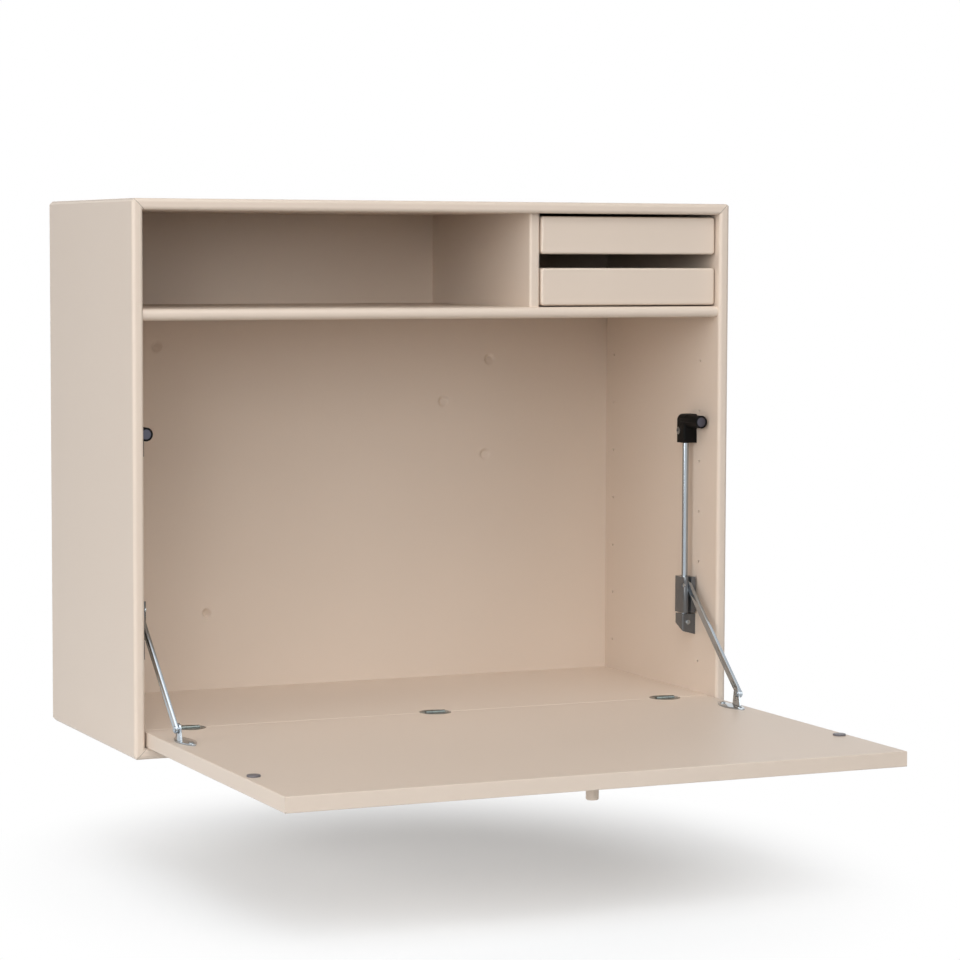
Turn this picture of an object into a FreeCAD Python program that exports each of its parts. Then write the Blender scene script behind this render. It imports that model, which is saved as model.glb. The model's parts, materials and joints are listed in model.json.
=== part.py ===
import FreeCAD, Part
import math
import os
import re
import Sketcher

# Sizes of the fold down wall desk, in millimetres. The desk hangs on a wall behind it: the wall is
# the plane y = 0, the front looks along -y, and the origin is the middle of the rail's wall screws.
sizes = {
    # Mitred carcase
    "carcase_width": "696",
    "carcase_height": "582",
    "carcase_depth": "300",
    "board_thickness": "12",
    "corner_chamfer": "3.5",
    "edge_round": "4",
    "back_thickness": "8",
    "back_recess": "10.5",
    "back_groove": "5",
    "overrun": "10",
    # Rows of small shelf pin holes in both sides
    "pin_hole_radius": "1.5",
    "pin_hole_depth": "7",
    "pin_hole_first": "63.5",
    "pin_hole_pitch": "57",
    "pin_hole_count": "7",
    "pin_hole_front": "44.5",
    "pin_hole_rear": "38",
    # Shelf, divider and raised floor inside the carcase
    "upper_bay_height": "102",
    "drawer_bay_width": "216",
    "shelf_setback": "3",
    "shelf_nose_flat": "1",
    "divider_setback": "12.5",
    "divider_round": "3",
    "floor_thickness": "16",
    # Dowels that hold the shelf and the divider
    "dowel_radius": "3",
    "dowel_length": "26",
    "dowel_sunk": "7",
    "dowel_fit": "0.1",
    "dowel_inset": "60",
    # Writing flap
    "flap_setback": "20",
    "flap_top_gap": "1",
    "flap_side_gap": "2",
    "flap_rest_gap": "0.2",
    "flap_round": "1",
    "seam_gap": "1",
    # Round flap hinges sunk in the floor and the flap
    "hinge_inset": "54.5",
    "cup_radius": "17.5",
    "cup_fit": "0.2",
    "cup_offset": "0.5",
    "cup_depth": "11",
    "leaf_gap": "0.6",
    "knuckle_radius": "2.2",
    "knuckle_middle": "7.2",
    "knuckle_reach": "11",
    "knuckle_gap": "0.3",
    "hinge_pin_radius": "1",
    "hinge_pin_fit": "0.03",
    "hinge_screw_rim": "5.5",
    "hinge_screw_angle": "48",
    # Screws: a flat head let into its seat, and a shank
    "screw_head_radius": "2.8",
    "screw_head_height": "1.4",
    "screw_shank_radius": "1.5",
    "screw_tip_gap": "1.1",
    "screw_fit": "0.1",
    # Flap stays: a rod on each side, with a sliding brake and an arm
    "stay_inset": "9.5",
    "rod_setback": "60",
    "rod_radius": "3.5",
    "rod_fit": "0.08",
    "foot_rod_seat": "12",
    "bracket_rod_seat": "10",
    "bracket_reach": "7",
    "bracket_depth": "18",
    "bracket_above": "7.5",
    "bracket_below": "25",
    "bracket_crown": "7",
    "bracket_round": "1.6",
    "bracket_screw_head_radius": "4.2",
    "bracket_screw_head_height": "2.2",
    "bracket_screw_shank_radius": "2",
    "bracket_screw_proud": "1.2",
    "bracket_screw_drop": "11.5",
    "bracket_screw_back": "4.3",
    "bracket_screw_grip": "8",
    "boss_radius": "7.2",
    "magnet_radius": "5.2",
    "magnet_length": "8",
    "magnet_sunk": "0.4",
    "slider_width": "15",
    "slider_back": "11",
    "slider_lug": "3",
    "slider_height": "41",
    "slider_above": "9.2",
    "slider_round": "3.6",
    "slider_slot": "4",
    "slider_wall": "1.5",
    "slider_rivet_radius": "2.6",
    "slider_rivet_proud": "0.8",
    "slider_stop_gap": "1.5",
    "eye_gap": "0.72",
    "foot_front": "19.3",
    "foot_rear": "10.7",
    "foot_lean": "4.4",
    "foot_screw_drop": "9.5",
    "arm_length": "162.4",
    "arm_width": "9",
    "arm_thickness": "3.4",
    "arm_gap": "0.25",
    # Arm brackets on the flap
    "plate_reach": "91",
    "plate_length": "60",
    "plate_width": "19",
    "plate_thickness": "1.8",
    "plate_shift": "10",
    "plate_tip_cut": "2",
    "plate_screw_spread": "19",
    "ear_base": "17",
    "ear_width": "12",
    "ear_thickness": "2",
    "pivot_lift": "14",
    "rivet_radius": "2.2",
    "rivet_fit": "0.05",
    "rivet_head_radius": "3.6",
    "rivet_head_height": "1.3",
    # Catch plates and pull knob on the flap
    "catch_reach": "309.5",
    "catch_inward": "3.5",
    "catch_beyond": "3",
    "catch_radius": "6.8",
    "catch_thickness": "2",
    "catch_bevel": "0.5",
    "catch_gap": "0.3",
    "knob_inset": "39",
    "knob_radius": "6.4",
    "knob_length": "16.5",
    "knob_bevel": "1",
    "knob_spigot_radius": "4",
    "knob_spigot_length": "9",
    "knob_spigot_fit": "0.1",
    # Two small drawers beside the divider
    "drawer_gap": "1",
    "drawer_setback": "10",
    "drawer_floor_gap": "1.5",
    "drawer_top_gap": "3.2",
    "finger_gap": "15.3",
    "drawer_face": "14",
    "drawer_corner": "3.5",
    "drawer_soft": "2.4",
    "tray_rear_gap": "17.5",
    "tray_drop": "5",
    "tray_lift": "2",
    "tray_wall": "9",
    "tray_bottom": "4",
    "runner_height": "9",
    "runner_rise": "15",
    "runner_front_gap": "15",
    "runner_thickness": "5",
    "runner_fit": "0.25",
    # Wall rail and the hooks that hang on it
    "rail_drop": "76",
    "rail_flange": "25",
    "rail_steel": "2",
    "rail_offset": "3.5",
    "rail_lip": "18",
    "rail_end_gap": "20",
    "rail_hole_radius": "3.25",
    "rail_hole_inset": "88",
    "hook_width": "80",
    "hook_inset": "70",
    "hook_height": "26",
    "hook_drop": "12",
    "hook_gap": "0.4",
    "hook_screw_spread": "25",
    "hook_screw_level": "14",
    "hook_screw_grip": "6.5",
}

# Two points closer than this lie in one place.
same_place = 1e-4

document = FreeCAD.newDocument("fold_down_wall_desk")
sheet = document.addObject("Spreadsheet::Sheet", "sizes")
for row, (alias, value) in enumerate(sizes.items(), start=1):
    sheet.set("A%d" % row, alias)
    sheet.set("B%d" % row, value)
    sheet.setAlias("B%d" % row, alias)
document.recompute()

word = re.compile(r"[a-z][a-z_]*")


def in_sheet(formula):
    # Names of sizes in a formula point at their cells.
    return word.sub(lambda found: ("sizes." if found.group() in sizes else "") + found.group(), formula)


def tie(item, target, formula):
    item.setExpression(target, in_sheet(formula))


def span(base, sign, near, far):
    # Low and high ends of a stretch that starts at base and runs along +1 or -1.
    if sign > 0:
        return "%s + %s" % (base, near), "%s + %s" % (base, far)
    return "%s - (%s)" % (base, far), "%s - (%s)" % (base, near)


def about(middle, width):
    return "%s - (%s) / 2" % (middle, width), "%s + (%s) / 2" % (middle, width)


# Plain blocks, rods and cones, and what is cut from them or joined.
def block(name, x, y, z):
    item = document.addObject("Part::Box", name)
    for side, axis, (low, high) in zip(("Length", "Width", "Height"), "xyz", (x, y, z)):
        tie(item, side, "(%s) - (%s)" % (high, low))
        tie(item, "Placement.Base." + axis, low)
    return item


turns = {
    "x": FreeCAD.Rotation(FreeCAD.Vector(0, 1, 0), 90),
    "y": FreeCAD.Rotation(FreeCAD.Vector(1, 0, 0), -90),
    "z": FreeCAD.Rotation(),
}


def along(item, axis, reach, centre):
    # Lays a rod or cone along an axis: reach is its low and high end, centre its two other places.
    low, high = reach
    item.Placement = FreeCAD.Placement(FreeCAD.Vector(), turns[axis])
    tie(item, "Height", "(%s) - (%s)" % (high, low))
    tie(item, "Placement.Base." + axis, low)
    for other, place in zip("xyz".replace(axis, ""), centre):
        tie(item, "Placement.Base." + other, place)
    return item


def rod(name, axis, radius, reach, centre):
    item = document.addObject("Part::Cylinder", name)
    tie(item, "Radius", radius)
    return along(item, axis, reach, centre)


def cone(name, axis, low_radius, high_radius, reach, centre):
    item = document.addObject("Part::Cone", name)
    tie(item, "Radius1", low_radius)
    tie(item, "Radius2", high_radius)
    return along(item, axis, reach, centre)


def combine(kind, name, pieces):
    item = document.addObject("Part::" + kind, name)
    item.Shapes = pieces
    item.Refine = True
    return item


def fuse(name, *pieces):
    return combine("MultiFuse", name, list(pieces))


def common(name, *pieces):
    return combine("MultiCommon", name, list(pieces))


def cut(name, base, *tools):
    item = document.addObject("Part::Cut", name)
    item.Base = base
    item.Tool = tools[0] if len(tools) == 1 else fuse(name + "_tools", *tools)
    item.Refine = True
    return item


def group(name, pieces):
    item = document.addObject("Part::Compound", name)
    item.Links = pieces
    return item


# Bodies built from sketches, pads and pockets.
def new_body(name):
    return document.addObject("PartDesign::Body", name)


def new_sketch(body, role, lift="0"):
    sketch = body.newObject("Sketcher::SketchObject", body.Name + "_sketch")
    plane = [feature for feature in body.Origin.OriginFeatures if feature.Role == role][0]
    sketch.AttachmentSupport = (plane, "")
    sketch.MapMode = "FlatFace"
    tie(sketch, "AttachmentOffset.Base.z", lift)
    return sketch


def place_point(sketch, geometry, vertex, x, y):
    for kind, formula in (("DistanceX", x), ("DistanceY", y)):
        number = sketch.addConstraint(Sketcher.Constraint(kind, -1, 1, geometry, vertex, 1.0))
        tie(sketch, "Constraints[%d]" % number, formula)


def add_loop(sketch, points):
    # A closed loop of straight lines. It starts as a unit ring and is drawn to its sizes.
    count = len(points)
    angles = [2 * math.pi * index / count for index in range(count)]
    ring = [FreeCAD.Vector(math.cos(angle), math.sin(angle), 0) for angle in angles]
    lines = [sketch.addGeometry(Part.LineSegment(ring[index - 1], ring[index])) for index in range(count)]
    for index in range(count):
        sketch.addConstraint(Sketcher.Constraint("Coincident", lines[index - 1], 2, lines[index], 1))
    for line, (x, y) in zip(lines, points):
        place_point(sketch, line, 1, x, y)


def outline(body, role, points, lift="0"):
    sketch = new_sketch(body, role, lift)
    add_loop(sketch, points)
    document.recompute()
    return sketch


def circles(body, role, places, radius, lift="0"):
    sketch = new_sketch(body, role, lift)
    for x, y in places:
        unit = Part.Circle(FreeCAD.Vector(), FreeCAD.Vector(0, 0, 1), 1)
        ring = sketch.addGeometry(unit)
        number = sketch.addConstraint(Sketcher.Constraint("Radius", ring, 1.0))
        tie(sketch, "Constraints[%d]" % number, radius)
        place_point(sketch, ring, 3, x, y)
    document.recompute()
    return sketch


def oblong(x, y):
    return [(x[0], y[0]), (x[1], y[0]), (x[1], y[1]), (x[0], y[1])]


def pad(body, sketch, length, side="One side", turned=False):
    item = body.newObject("PartDesign::Pad", body.Name + "_pad")
    item.Profile = sketch
    item.SideType = side
    item.Reversed = turned
    tie(item, "Length", length)
    document.recompute()
    return item


def loft(body, sketches):
    item = body.newObject("PartDesign::AdditiveLoft", body.Name + "_loft")
    item.Profile = sketches[0]
    item.Sections = sketches[1:]
    item.Ruled = True
    document.recompute()
    return item


def pocket(body, sketch, depth=None, turned=False):
    # Without a depth the cut goes right through, both ways.
    before = body.Shape.Volume
    item = body.newObject("PartDesign::Pocket", body.Name + "_pocket")
    item.Profile = sketch
    item.Reversed = turned
    if depth:
        tie(item, "Length", depth)
    else:
        item.SideType = "Symmetric"
        item.Type = "ThroughAll"
    document.recompute()
    if body.Shape.Volume > before - same_place:
        raise RuntimeError("a cut in %s removes nothing" % body.Name)
    return item


def drill(body, role, places, radius, depth, lift="0", turned=False):
    return pocket(body, circles(body, role, places, radius, lift), depth, turned)


def limits(shape):
    box = shape.BoundBox
    return {
        "x": {"low": box.XMin, "high": box.XMax},
        "y": {"low": box.YMin, "high": box.YMax},
        "z": {"low": box.ZMin, "high": box.ZMax},
    }


def edges(shape, run=None, **ends):
    # Names of the edges that run along an axis and lie at the given ends of the shape.
    reach = limits(shape)
    names = []
    for number, edge in enumerate(shape.Edges, start=1):
        points = [vertex.Point for vertex in edge.Vertexes]
        if run:
            offset = points[-1] - points[0]
            if abs(abs(getattr(offset, run)) - edge.Length) > same_place:
                continue
        gaps = [
            abs(getattr(point, axis) - reach[axis][end])
            for axis, end in ends.items() for point in points
        ]
        if max(gaps, default=0) < same_place:
            names.append("Edge%d" % number)
    return names


def soften(body, feature, names, radius):
    item = body.newObject("PartDesign::Fillet", body.Name + "_fillet")
    item.Base = (feature, names)
    tie(item, "Radius", radius)
    document.recompute()
    return item


def place(item, x="0", y="0", z="0"):
    for axis, formula in zip("xyz", (x, y, z)):
        tie(item, "Placement.Base." + axis, formula)


# Shared places, as formulas of the sizes above.
inner = "(carcase_width / 2 - board_thickness)"
underside = "(rail_drop - carcase_height)"
middle_level = "(rail_drop - carcase_height / 2)"
ceiling = "(rail_drop - board_thickness)"
back_face = "(-back_recess - back_thickness)"
shelf_top = "(%s - upper_bay_height)" % ceiling
shelf_low = "(%s - board_thickness)" % shelf_top
shelf_middle = "(%s - board_thickness / 2)" % shelf_top
bay_left = "(%s - drawer_bay_width)" % inner
divider_x = "(%s - board_thickness / 2)" % bay_left
floor_top = "(%s + board_thickness + floor_thickness)" % underside
flap_length = "(%s - %s - seam_gap / 2 - flap_top_gap)" % (shelf_low, floor_top)
hinge_x = "(%s - hinge_inset)" % inner
hinge_y = "(flap_setback - carcase_depth)"
stay_x = "(carcase_width / 2 - board_thickness - stay_inset)"
rod_y = "(rod_setback - carcase_depth)"
rivet_y = "(flap_setback - carcase_depth - plate_reach)"
rivet_z = "(%s + pivot_lift)" % floor_top
pivot_forward = "(rod_radius + rod_fit + slider_wall + eye_gap + arm_width / 2)"
pivot_y = "(%s - %s)" % (rod_y, pivot_forward)
arm_forward = "(rod_setback - %s - flap_setback + plate_reach)" % pivot_forward
arm_rise = "sqrt(arm_length ^ 2 - %s ^ 2)" % arm_forward
pivot_z = "(%s + %s)" % (rivet_z, arm_rise)
slider_top = "(%s + slider_above)" % pivot_z
slider_low = "(%s + slider_above - slider_height)" % pivot_z
foot_top = "(%s - slider_stop_gap)" % slider_low
boss_z = "(%s + catch_reach)" % floor_top
bracket_screw_y = "(%s + bracket_screw_back)" % rod_y
bracket_screw_z = "(%s - bracket_screw_drop)" % boss_z
dowel_places = ("(dowel_inset - carcase_depth)", "(%s - dowel_inset)" % back_face)
sides = {"left": -1, "right": 1}


def signed(sign, formula):
    return formula if sign > 0 else "-" + formula


# Carcase boards: outer face down, length along x, then turned into place.
def carcase_board(name, length, angle, place_at):
    board = new_body(name)
    section = outline(board, "YZ_Plane", [
        ("-carcase_depth", "0"),
        ("0", "0"),
        ("0", "board_thickness"),
        ("-back_recess", "board_thickness"),
        ("-back_recess", "board_thickness - back_groove"),
        ("-back_recess - back_thickness", "board_thickness - back_groove"),
        ("-back_recess - back_thickness", "board_thickness"),
        ("-carcase_depth", "board_thickness"),
    ])
    plank = pad(board, section, length, "Symmetric")
    soften(board, plank, edges(plank.Shape, "x", y="low"), "edge_round")
    mitres = new_sketch(board, "XZ_Plane")
    for sign in (1, -1):
        add_loop(mitres, [
            (signed(sign, "(%s / 2 - corner_chamfer - overrun)" % length), "-overrun"),
            (signed(sign, "(%s / 2 - corner_chamfer / 2)" % length), "corner_chamfer / 2"),
            (signed(sign, "(%s / 2 - board_thickness - overrun)" % length), "board_thickness + overrun"),
            (signed(sign, "(%s / 2 + overrun)" % length), "board_thickness + overrun"),
            (signed(sign, "(%s / 2 + overrun)" % length), "-overrun"),
        ])
    document.recompute()
    pocket(board, mitres)
    board.Placement = FreeCAD.Placement(FreeCAD.Vector(), FreeCAD.Rotation(FreeCAD.Vector(0, 1, 0), angle))
    place(board, *place_at)
    return board


def shelf_pin_holes(board, sign):
    first = signed(sign, "(pin_hole_first - carcase_height / 2)")
    places = [(first, depth) for depth in ("pin_hole_front - carcase_depth", "-pin_hole_rear")]
    lowest = circles(board, "XY_Plane", places, "pin_hole_radius", "board_thickness")
    drilled = pocket(board, lowest, "pin_hole_depth")
    column = board.newObject("PartDesign::LinearPattern", board.Name + "_column")
    column.Originals = [drilled]
    column.Direction = (lowest, ["H_Axis"])
    column.Reversed = sign < 0
    tie(column, "Length", "pin_hole_pitch * (pin_hole_count - 1)")
    tie(column, "Occurrences", "pin_hole_count")
    board.Tip = column
    document.recompute()


# A dowel goes shallow into the face of one board and deep into the edge of the other.
def face_sockets(board, x):
    places = [(x, y) for y in dowel_places]
    drill(board, "XY_Plane", places, dowel_bore, "dowel_sunk + dowel_fit", "board_thickness")


dowel_bore = "dowel_radius + dowel_fit"
edge_depth = "dowel_length - dowel_sunk + dowel_fit"


def side_panel(side, sign):
    panel = carcase_board(
        side + "_side_panel", "carcase_height", -90 * sign,
        (signed(sign, "(carcase_width / 2)"), "0", middle_level))
    shelf_pin_holes(panel, sign)
    face_sockets(panel, signed(sign, "(%s - %s)" % (shelf_middle, middle_level)))
    stay_pilot = [(signed(sign, "(%s - %s)" % (bracket_screw_z, middle_level)), bracket_screw_y)]
    drill(
        panel, "XY_Plane", stay_pilot, "bracket_screw_shank_radius + screw_fit",
        "bracket_screw_grip + screw_fit", "board_thickness")
    return panel


bottom_panel = carcase_board("bottom_panel", "carcase_width", 0, ("0", "0", underside))
top_panel = carcase_board("top_panel", "carcase_width", 180, ("0", "0", "rail_drop"))
face_sockets(top_panel, "-" + divider_x)
nodes = [bottom_panel, top_panel]
nodes += [side_panel(side, sign) for side, sign in sides.items()]


# Screws through the hooks hold in the rear of the back panel.
def hook_screw_centres(sign):
    middle = signed(sign, "(%s - hook_inset)" % inner)
    level = "(rail_flange / 2 + rail_lip + hook_screw_level)"
    return [("%s %s hook_screw_spread" % (middle, way), level) for way in "+-"]


def back_panel():
    board = block(
        "back_panel_board",
        about("0", "2 * %s + 2 * back_groove" % inner),
        (back_face, "-back_recess"),
        ("%s + board_thickness - back_groove" % underside, "%s + back_groove" % ceiling),
    )
    pilots = [
        rod("back_panel_pilot_%s_%d" % (side, number), "y", "screw_shank_radius + screw_fit",
            ("-back_recess - hook_screw_grip - screw_fit", "overrun"), centre)
        for side, sign in sides.items() for number, centre in enumerate(hook_screw_centres(sign))
    ]
    return cut("back_panel", board, *pilots)


def shelf_board():
    board = new_body("shelf")
    section = outline(board, "YZ_Plane", oblong(
        ("shelf_setback - carcase_depth", back_face), ("0", "board_thickness")))
    plank = pad(board, section, "2 * " + inner, "Symmetric")
    soften(board, plank, edges(plank.Shape, "x", y="low"), "(board_thickness - shelf_nose_flat) / 2")
    face_sockets(board, divider_x)
    ends = [(y, "board_thickness / 2") for y in dowel_places]
    for sign in sides.values():
        drill(board, "YZ_Plane", ends, dowel_bore, edge_depth, signed(sign, inner), sign < 0)
    place(board, z=shelf_low)
    return board


def divider_board():
    board = new_body("divider")
    section = outline(board, "XY_Plane", oblong(
        about("0", "board_thickness"), ("divider_setback - carcase_depth", back_face)))
    plank = pad(board, section, "upper_bay_height")
    soften(board, plank, edges(plank.Shape, "z", y="low"), "divider_round")
    ends = [("0", y) for y in dowel_places]
    drill(board, "XY_Plane", ends, dowel_bore, edge_depth, "upper_bay_height")
    drill(board, "XY_Plane", ends, dowel_bore, edge_depth, turned=True)
    place(board, x=divider_x, z=shelf_top)
    return board


def joint_dowels():
    shelf_dowels = [
        rod("shelf_dowel_%s_%d" % (side, number), "x", "dowel_radius",
            span(signed(sign, inner), sign, "dowel_sunk - dowel_length", "dowel_sunk"), (y, shelf_middle))
        for side, sign in sides.items() for number, y in enumerate(dowel_places)
    ]
    divider_dowels = [
        rod("divider_dowel_%s_%d" % (end, number), "z", "dowel_radius",
            span(level, sign, "dowel_sunk - dowel_length", "dowel_sunk"), (divider_x, y))
        for end, level, sign in (("top", ceiling, 1), ("low", shelf_top, -1))
        for number, y in enumerate(dowel_places)
    ]
    return group("joint_dowels", shelf_dowels + divider_dowels)


nodes += [back_panel(), shelf_board(), divider_board(), joint_dowels()]

# Floor and flap meet at the hinge axis, which lies on their upper faces.
hinge_places = {"left": "-" + hinge_x, "middle": "0", "right": hinge_x}
hinge_screw_spread = "((cup_radius - hinge_screw_rim) * sin(hinge_screw_angle))"
hinge_screw_reach = "(cup_offset + (cup_radius - hinge_screw_rim) * cos(hinge_screw_angle))"
hinge_screw_seat = "%s - screw_head_height" % floor_top
board_screw_length = "(floor_thickness - screw_head_height - screw_tip_gap)"


def sink_hinges(board, sign):
    cups = [(x, signed(sign, "cup_offset")) for x in hinge_places.values()]
    drill(board, "XY_Plane", cups, "cup_radius", "cup_depth")
    pilots = [
        ("%s %s %s" % (x, side, hinge_screw_spread), signed(sign, hinge_screw_reach))
        for x in hinge_places.values() for side in "+-"
    ]
    drill(
        board, "XY_Plane", pilots, "screw_shank_radius + screw_fit",
        "screw_head_height + screw_fit + " + board_screw_length)


def floor_board():
    board = new_body("inner_floor")
    section = outline(board, "XY_Plane", oblong(
        about("0", "2 * " + inner), ("seam_gap / 2", "%s - %s" % (back_face, hinge_y))))
    slab = pad(board, section, "floor_thickness", turned=True)
    soften(board, slab, edges(slab.Shape, "x", y="low", z="high"), "flap_round")
    sink_hinges(board, 1)
    place(board, y=hinge_y, z=floor_top)
    return board


def flap_board():
    board = new_body("flap_board")
    thickness = "(floor_thickness - flap_rest_gap)"
    reach = ("-seam_gap / 2 - " + flap_length, "-seam_gap / 2")
    section = outline(board, "XY_Plane", oblong(about("0", "2 * %s - 2 * flap_side_gap" % inner), reach))
    slab = pad(board, section, thickness, turned=True)
    soften(board, slab, edges(slab.Shape, z="high") + edges(slab.Shape, z="low"), "flap_round")
    sink_hinges(board, -1)
    pilots = [
        (signed(sign, "(%s - plate_shift)" % stay_x), "-plate_reach %s plate_screw_spread" % side)
        for sign in sides.values() for side in "+-"
    ]
    drill(board, "XY_Plane", pilots, "screw_shank_radius + screw_fit", board_screw_length)
    drill(
        board, "XY_Plane", [("0", "-seam_gap / 2 - %s + knob_inset" % flap_length)],
        "knob_spigot_radius + knob_spigot_fit", "knob_spigot_length + knob_spigot_fit",
        "-" + thickness, turned=True)
    place(board, y=hinge_y, z=floor_top)
    return board


nodes += [floor_board(), flap_board()]


# A screw along an axis: sign is the way its head looks, and seat the plane under the head.
def screw(name, axis, seat, sign, centre, length, kind="screw"):
    head_reach = span(seat, sign, "0", kind + "_head_height")
    head = rod(name + "_head", axis, kind + "_head_radius", head_reach, centre)
    shank_reach = span(seat, -sign, "-%s_head_height / 2" % kind, length)
    shank = rod(name + "_shank", axis, kind + "_shank_radius", shank_reach, centre)
    return fuse(name, head, shank)


def screw_hole(name, axis, seat, sign, centre, length, kind="screw"):
    head_reach = span(seat, sign, "0", kind + "_head_height + overrun")
    head = rod(name + "_head_seat", axis, kind + "_head_radius + screw_fit", head_reach, centre)
    shank_reach = span(seat, -sign, "-%s_head_height" % kind, length + " + screw_fit")
    shank = rod(name + "_shank_bore", axis, kind + "_shank_radius + screw_fit", shank_reach, centre)
    return fuse(name, head, shank)


# Flap hinges: half cups with interlocking knuckles on one pin.
def hinge_leaf(name, x, sign):
    cup_level = ("%s - cup_depth" % floor_top, floor_top)
    cup_middle = "%s %s cup_offset" % (hinge_y, "+" if sign > 0 else "-")
    cup = rod(name + "_cup", "z", "cup_radius - cup_fit", cup_level, (x, cup_middle))
    keep = block(
        name + "_keep", about(x, "2 * cup_radius"),
        span(hinge_y, sign, "leaf_gap", "cup_offset + cup_radius"), cup_level)
    half_cup = common(name + "_half_cup", cup, keep)
    middle = ("%s - knuckle_middle / 2" % x, "%s + knuckle_middle / 2" % x)
    outer = [span(x, way, "knuckle_middle / 2 + knuckle_gap", "knuckle_reach") for way in (1, -1)]
    outer_room = [span(x, way, "knuckle_middle / 2", "knuckle_reach + knuckle_gap") for way in (1, -1)]
    middle_room = about(x, "knuckle_middle + 2 * knuckle_gap")
    own, room = (outer, [middle_room]) if sign > 0 else ([middle], outer_room)
    axis_at = (hinge_y, floor_top)
    cleared = cut(name + "_cleared", half_cup, *[
        rod("%s_room_%d" % (name, number), "x", "knuckle_radius + knuckle_gap", reach, axis_at)
        for number, reach in enumerate(room)
    ])
    knuckles = [
        rod("%s_knuckle_%d" % (name, number), "x", "knuckle_radius", reach, axis_at)
        for number, reach in enumerate(own)
    ]
    joined = fuse(name + "_joined", cleared, *knuckles)
    bore_reach = about(x, "2 * knuckle_reach + 2 * overrun")
    bore = rod(name + "_bore", "x", "hinge_pin_radius + hinge_pin_fit", bore_reach, axis_at)
    holes = [
        screw_hole("%s_screw_hole_%d" % (name, number), "z", hinge_screw_seat, 1, centre, board_screw_length)
        for number, centre in enumerate(hinge_screw_centres(x, sign))
    ]
    return cut(name, joined, bore, *holes)


def hinge_screw_centres(x, sign):
    y = "%s %s %s" % (hinge_y, "+" if sign > 0 else "-", hinge_screw_reach)
    return [("%s %s %s" % (x, way, hinge_screw_spread), y) for way in "-+"]


for half, sign in (("floor", 1), ("flap", -1)):
    half_screws = []
    for where, x in hinge_places.items():
        nodes.append(hinge_leaf("hinge_%s_half_%s" % (half, where), x, sign))
        half_screws += [
            screw("hinge_%s_screw_%s_%d" % (half, where, number), "z", hinge_screw_seat, 1, centre,
                  board_screw_length)
            for number, centre in enumerate(hinge_screw_centres(x, sign))
        ]
    nodes.append(group("hinge_%s_screws" % half, half_screws))

nodes.append(group("hinge_pins", [
    rod("hinge_pin_" + where, "x", "hinge_pin_radius", about(x, "2 * knuckle_reach"), (hinge_y, floor_top))
    for where, x in hinge_places.items()
]))


# Flap stay on one side: top bracket with catch magnet, guide rod, foot, sliding brake and arm.
def stay_bracket(side, sign):
    name = "stay_bracket_" + side
    x = signed(sign, stay_x)
    head = new_body(name + "_head")
    section = outline(head, "XZ_Plane", oblong(
        span("0", sign, "-bracket_reach", "stay_inset"), ("-bracket_below", "bracket_above")))
    solid = pad(head, section, "bracket_depth", "Symmetric")
    inside = "low" if sign > 0 else "high"
    crowned = soften(head, solid, edges(solid.Shape, "y", x=inside, z="high"), "bracket_crown")
    soften(head, crowned, edges(crowned.Shape, "z", x=inside), "bracket_round")
    place(head, x, rod_y, boss_z)
    boss = rod(
        name + "_boss", "y", "boss_radius",
        ("%s + catch_thickness + catch_gap" % hinge_y, rod_y), (x, boss_z))
    joined = fuse(name + "_joined", head, boss)
    rod_bore = rod(
        name + "_rod_bore", "z", "rod_radius + rod_fit",
        ("%s - bracket_below - overrun" % boss_z, rod_end), (x, rod_y))
    magnet_bore = rod(
        name + "_magnet_bore", "y", "magnet_radius + rod_fit",
        ("%s - overrun" % hinge_y, magnet_reach[1]), (x, boss_z))
    fixing = screw_hole(
        name + "_screw_hole", "x", bracket_screw_seat(sign), -sign,
        (bracket_screw_y, bracket_screw_z), bracket_screw_length, "bracket_screw")
    return cut(name, joined, rod_bore, magnet_bore, fixing)


rod_end = "(%s - bracket_below + bracket_rod_seat)" % boss_z
magnet_start = "(%s + catch_thickness + catch_gap + magnet_sunk)" % hinge_y
magnet_reach = (magnet_start, "(%s + magnet_length)" % magnet_start)
bracket_screw_sunk = "(bracket_screw_head_height - bracket_screw_proud)"
bracket_screw_length = "(bracket_reach - %s + stay_inset + bracket_screw_grip)" % bracket_screw_sunk
foot_screw_level = "(%s - foot_screw_drop)" % foot_top
foot_screw_seat = "(%s - bracket_depth / 2)" % rod_y


def bracket_screw_seat(sign):
    # The head stands a little proud of the bracket's inner face.
    return signed(sign, "(%s - bracket_reach + %s)" % (stay_x, bracket_screw_sunk))


def foot_section(lean):
    # The foot's underside falls towards the front.
    return [
        ("-bracket_depth / 2", "-foot_front - " + lean),
        ("bracket_depth / 2", "-foot_rear - " + lean),
        ("bracket_depth / 2", "0"),
        ("-bracket_depth / 2", "0"),
    ]


def stay_foot(side, sign):
    # A wedge whose underside also falls towards the side panel.
    name = "stay_foot_" + side
    x = signed(sign, stay_x)
    wedge = new_body(name + "_wedge")
    ends = [
        outline(wedge, "YZ_Plane", foot_section("0"), signed(-sign, "bracket_reach")),
        outline(wedge, "YZ_Plane", foot_section("foot_lean"), signed(sign, "stay_inset")),
    ]
    solid = loft(wedge, ends[::-sign])
    inside = "low" if sign > 0 else "high"
    soften(wedge, solid, edges(solid.Shape, "z", x=inside), "bracket_round")
    place(wedge, x, rod_y, foot_top)
    rod_bore = rod(name + "_rod_bore", "z", "rod_radius + rod_fit", (rod_start, slider_low), (x, rod_y))
    set_screw_bore = rod(
        name + "_screw_bore", "y", "screw_shank_radius + screw_fit",
        ("%s - overrun" % foot_screw_seat, rod_y), (x, foot_screw_level))
    return cut(name, wedge, rod_bore, set_screw_bore)


rod_start = "(%s - foot_rod_seat)" % foot_top


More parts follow.
